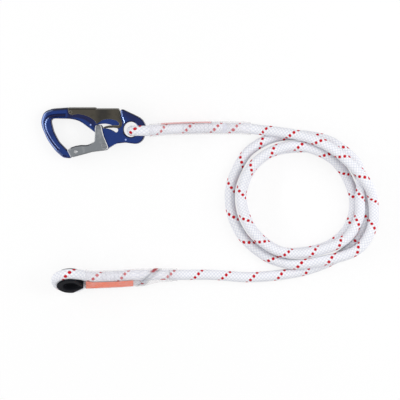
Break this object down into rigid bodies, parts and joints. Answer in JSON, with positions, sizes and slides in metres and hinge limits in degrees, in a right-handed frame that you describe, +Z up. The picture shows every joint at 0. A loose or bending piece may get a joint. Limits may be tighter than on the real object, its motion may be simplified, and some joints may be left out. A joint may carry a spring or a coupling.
{
  "type": "rope lanyard with snap hook",
  "caption": "Rope lanyard with a self-locking snap hook sewn on at one end and a sewn eye with a thimble at the other, the rope laid in a loose coil.",
  "frame": {"origin": "on the table under the middle of the snap hook as it lies", "axes": "+Z up from the table, the hook's nose towards -X and its rope eye towards +X, the hook's back towards +Y and its gate towards -Y"},
  "size_m": [0.3643, 0.2003, 0.0383],
  "materials": {
    "anodised_body": "blue anodised forged aluminium alloy, satin with bright rounded edges",
    "dark_steel": "blued folded sheet steel",
    "plated_steel": "zinc plated folded sheet steel",
    "rivet_steel": "bright steel",
    "spring_steel": "bright spring wire",
    "rope_cover": "white braided polyamide sheath with a red tracer yarn",
    "thimble_plastic": "black moulded polyamide",
    "clear_film": "clear milky heat-shrink film",
    "pink_paper": "pale pink printed label, left bare",
    "salmon_paper": "salmon printed label, left bare",
    "sewing_thread": "white bonded thread"
  },
  "bodies": {
    "lanyard": {"rope": "rope_cover", "hook_eye_loop": "rope_cover", "thimble_eye_loop": "rope_cover", "thimble": "thimble_plastic", "hook_end_sleeve": "clear_film", "thimble_end_sleeve": "clear_film", "hook_end_label": "pink_paper", "thimble_end_label": "salmon_paper", "hook_end_stitching": "sewing_thread", "thimble_end_stitching": "sewing_thread"},
    "hook": {"hook_body": "anodised_body", "gate_pivot_rivet": "rivet_steel", "lever_pivot_rivet": "rivet_steel", "gate_spacer_top": "rivet_steel", "gate_spacer_under": "rivet_steel", "gate_spring": "spring_steel", "lever_spring": "spring_steel"},
    "gate": {"gate_channel": "plated_steel", "gate_tail_pin": "rivet_steel", "gate_nose_rivet": "rivet_steel"},
    "lever": {"lock_lever": "dark_steel"}
  },
  "joints": [
    {"name": "hook_swing", "type": "hinge", "parent": "lanyard", "child": "hook", "pos_m": [0.0406, 0.0033, 0.0173], "axis": [0, 0, 1], "range_deg": [-40, 40]},
    {"name": "gate_swing", "type": "hinge", "parent": "hook", "child": "gate", "pos_m": [0.01175, -0.0142, 0.01347], "axis": [0.1317, 0, -0.9913], "range_deg": [0, 42], "stiffness_Nm_per_rad": 0.1, "springref_deg": -17.19, "deforming": ["gate_spring"]},
    {"name": "lever_press", "type": "hinge", "parent": "hook", "child": "lever", "pos_m": [-0.02413, 0.0217, 0.0087], "axis": [0.1317, 0, -0.9913], "range_deg": [0, 6.6], "stiffness_Nm_per_rad": 1, "springref_deg": -5.73, "deforming": ["lever_spring"]}
  ],
  "couplings": [
    {"joint": "lever_press", "follows": "gate_swing", "ratio": 0.155}
  ]
}
